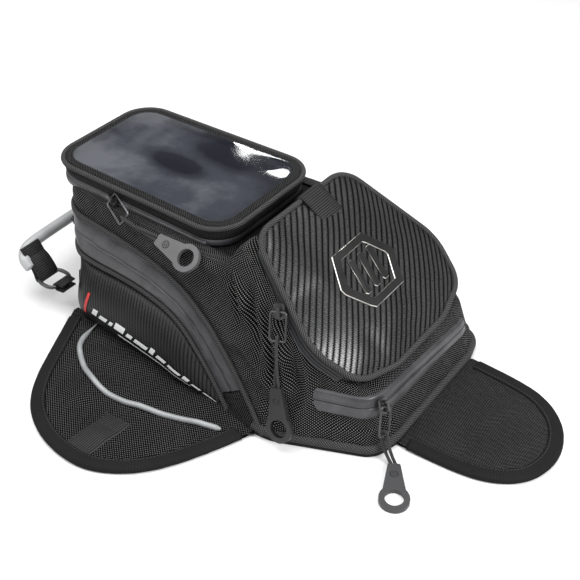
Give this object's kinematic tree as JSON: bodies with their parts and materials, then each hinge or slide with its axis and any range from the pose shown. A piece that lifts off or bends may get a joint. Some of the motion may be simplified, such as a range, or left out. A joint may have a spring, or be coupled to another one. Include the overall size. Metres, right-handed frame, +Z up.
{
  "type": "motorcycle tank bag",
  "caption": "Black tank bag with a map-window lid, a sloping front pocket, side pockets, magnet flaps and a rear carry handle.",
  "frame": {"origin": "middle of the base panel underside, on the middle plane", "axes": "+X from the carry handle to the tongue flap, +Z up, -Y the left side"},
  "size_m": [0.562, 0.5236, 0.1654],
  "materials": {
    "ballistic": "coarse ballistic weave",
    "side_weave": "fine ribbed weave",
    "carbon_weave": "glossy embossed twill",
    "coated_tape": "coated satin tape",
    "zip_coil": "moulded coil",
    "piping": "ribbed woven tape",
    "webbing": "woven webbing",
    "reflective": "reflective satin",
    "clear_window": "clear soft vinyl",
    "emblem": "gloss with a bright bevel",
    "hardware": "gunmetal",
    "cord": "braided cord",
    "pull_rubber": "matte moulded rubber",
    "grip": "glossy tube",
    "magnet": "plated disc",
    "board": "stiffener board"
  },
  "bodies": {
    "bag": {"base_panel": "ballistic", "base_board": "board", "main_wall": "ballistic", "rim_panel": "ballistic", "divider_panel": "ballistic", "pod_wall": "ballistic", "pocket_floor": "ballistic", "pocket_wall": "ballistic", "pocket_zip_tape": "coated_tape", "arch_pipings": "piping", "pocket_pipings": "piping", "side_zip_tape_left": "coated_tape", "side_zip_tape_right": "coated_tape", "side_patches": "ballistic", "side_pocket_left": "side_weave", "side_pocket_right": "side_weave", "front_zip_tape": "coated_tape", "front_piping": "piping", "handle_anchors": "webbing"},
    "map_lid": {"lid_wall": "ballistic", "map_pocket_panel": "ballistic", "map_window": "clear_window", "window_binding": "piping", "lid_piping": "piping", "lid_zip_coil": "zip_coil"},
    "pocket_lid": {"pocket_lid_panel": "carbon_weave", "pocket_lid_piping": "piping", "emblem": "emblem", "webbing_tab": "webbing"},
    "flap_left": {"flap_left": "ballistic", "flap_binding_left": "piping", "flap_piping_left": "reflective", "flap_patch_left": "webbing", "flap_magnets_left": "magnet"},
    "flap_right": {"flap_right": "ballistic", "flap_binding_right": "piping", "flap_piping_right": "reflective", "flap_patch_right": "webbing", "flap_magnets_right": "magnet"},
    "tongue": {"tongue_flap": "ballistic", "tongue_binding": "piping", "tongue_magnets": "magnet"},
    "lid_slider": {"lid_slider": "hardware"},
    "pocket_slider": {"pocket_slider": "hardware"},
    "front_slider": {"front_slider": "hardware"},
    "side_zip_slider_left": {"side_zip_slider_left": "hardware"},
    "side_zip_slider_right": {"side_zip_slider_right": "hardware"},
    "lid_pull": {"lid_wire_loop": "hardware", "lid_pull_cord": "cord", "lid_pull_tab": "pull_rubber"},
    "pocket_pull": {"pocket_wire_loop": "hardware", "pocket_pull_cord": "cord", "pocket_pull_tab": "pull_rubber"},
    "front_pull": {"front_wire_loop": "hardware", "front_pull_cord": "cord", "front_pull_tab": "pull_rubber"},
    "handle": {"handle_grip": "grip", "handle_rings": "hardware", "handle_webbing": "webbing"}
  },
  "joints": [
    {"name": "map_lid_hinge", "type": "hinge", "parent": "bag", "child": "map_lid", "pos_m": [-0.013, 0, 0.131], "axis": [0, 1, 0], "range_deg": [0, 85]},
    {"name": "pocket_lid_hinge", "type": "hinge", "parent": "bag", "child": "pocket_lid", "pos_m": [0.02284, 0, 0.15937], "axis": [0, -1, 0], "range_deg": [0, 100]},
    {"name": "flap_left_hinge", "type": "hinge", "parent": "bag", "child": "flap_left", "pos_m": [-0.187, -0.108, 0.002], "axis": [-0.9949, 0.1006, 0], "range_deg": [-50, 50]},
    {"name": "flap_right_hinge", "type": "hinge", "parent": "bag", "child": "flap_right", "pos_m": [-0.187, 0.108, 0.002], "axis": [0.9949, 0.1006, 0], "range_deg": [-50, 50]},
    {"name": "tongue_hinge", "type": "hinge", "parent": "bag", "child": "tongue", "pos_m": [0.1842, 0, 0.002], "axis": [0, -1, 0], "range_deg": [-50, 50]},
    {"name": "lid_zip_slide", "type": "slide", "parent": "bag", "child": "lid_slider", "axis": [0.9997, -0.0236, 0], "range_m": [-0.04, 0.06]},
    {"name": "pocket_zip_slide", "type": "slide", "parent": "bag", "child": "pocket_slider", "axis": [0.7742, -0.3081, -0.553], "range_m": [-0.025, 0.012]},
    {"name": "front_zip_slide", "type": "slide", "parent": "bag", "child": "front_slider", "axis": [0.0195, 0.9979, -0.0619], "range_m": [0, 0.01]},
    {"name": "side_zip_left_slide", "type": "slide", "parent": "bag", "child": "side_zip_slider_left", "axis": [0, -1, 0], "range_m": [-0.03, 0]},
    {"name": "side_zip_right_slide", "type": "slide", "parent": "bag", "child": "side_zip_slider_right", "axis": [0, 1, 0], "range_m": [-0.03, 0]},
    {"name": "lid_pull_hinge", "type": "hinge", "parent": "lid_slider", "child": "lid_pull", "pos_m": [-0.1492, -0.07273, 0.13706], "axis": [-0.3752, -0.5046, -0.7776], "range_deg": [0, 60]},
    {"name": "pocket_pull_hinge", "type": "hinge", "parent": "pocket_slider", "child": "pocket_pull", "pos_m": [0.06976, -0.09726, 0.11989], "axis": [-0.9349, -0.3442, -0.0862], "range_deg": [0, 60]},
    {"name": "front_pull_hinge", "type": "hinge", "parent": "front_slider", "child": "front_pull", "pos_m": [0.16999, -0.07637, 0.04981], "axis": [-0.1139, -0.9434, 0.3115], "range_deg": [0, 45]},
    {"name": "handle_swing", "type": "hinge", "parent": "bag", "child": "handle", "pos_m": [-0.203, 0, 0.03], "axis": [0, 1, 0], "range_deg": [-30, 22]}
  ]
}
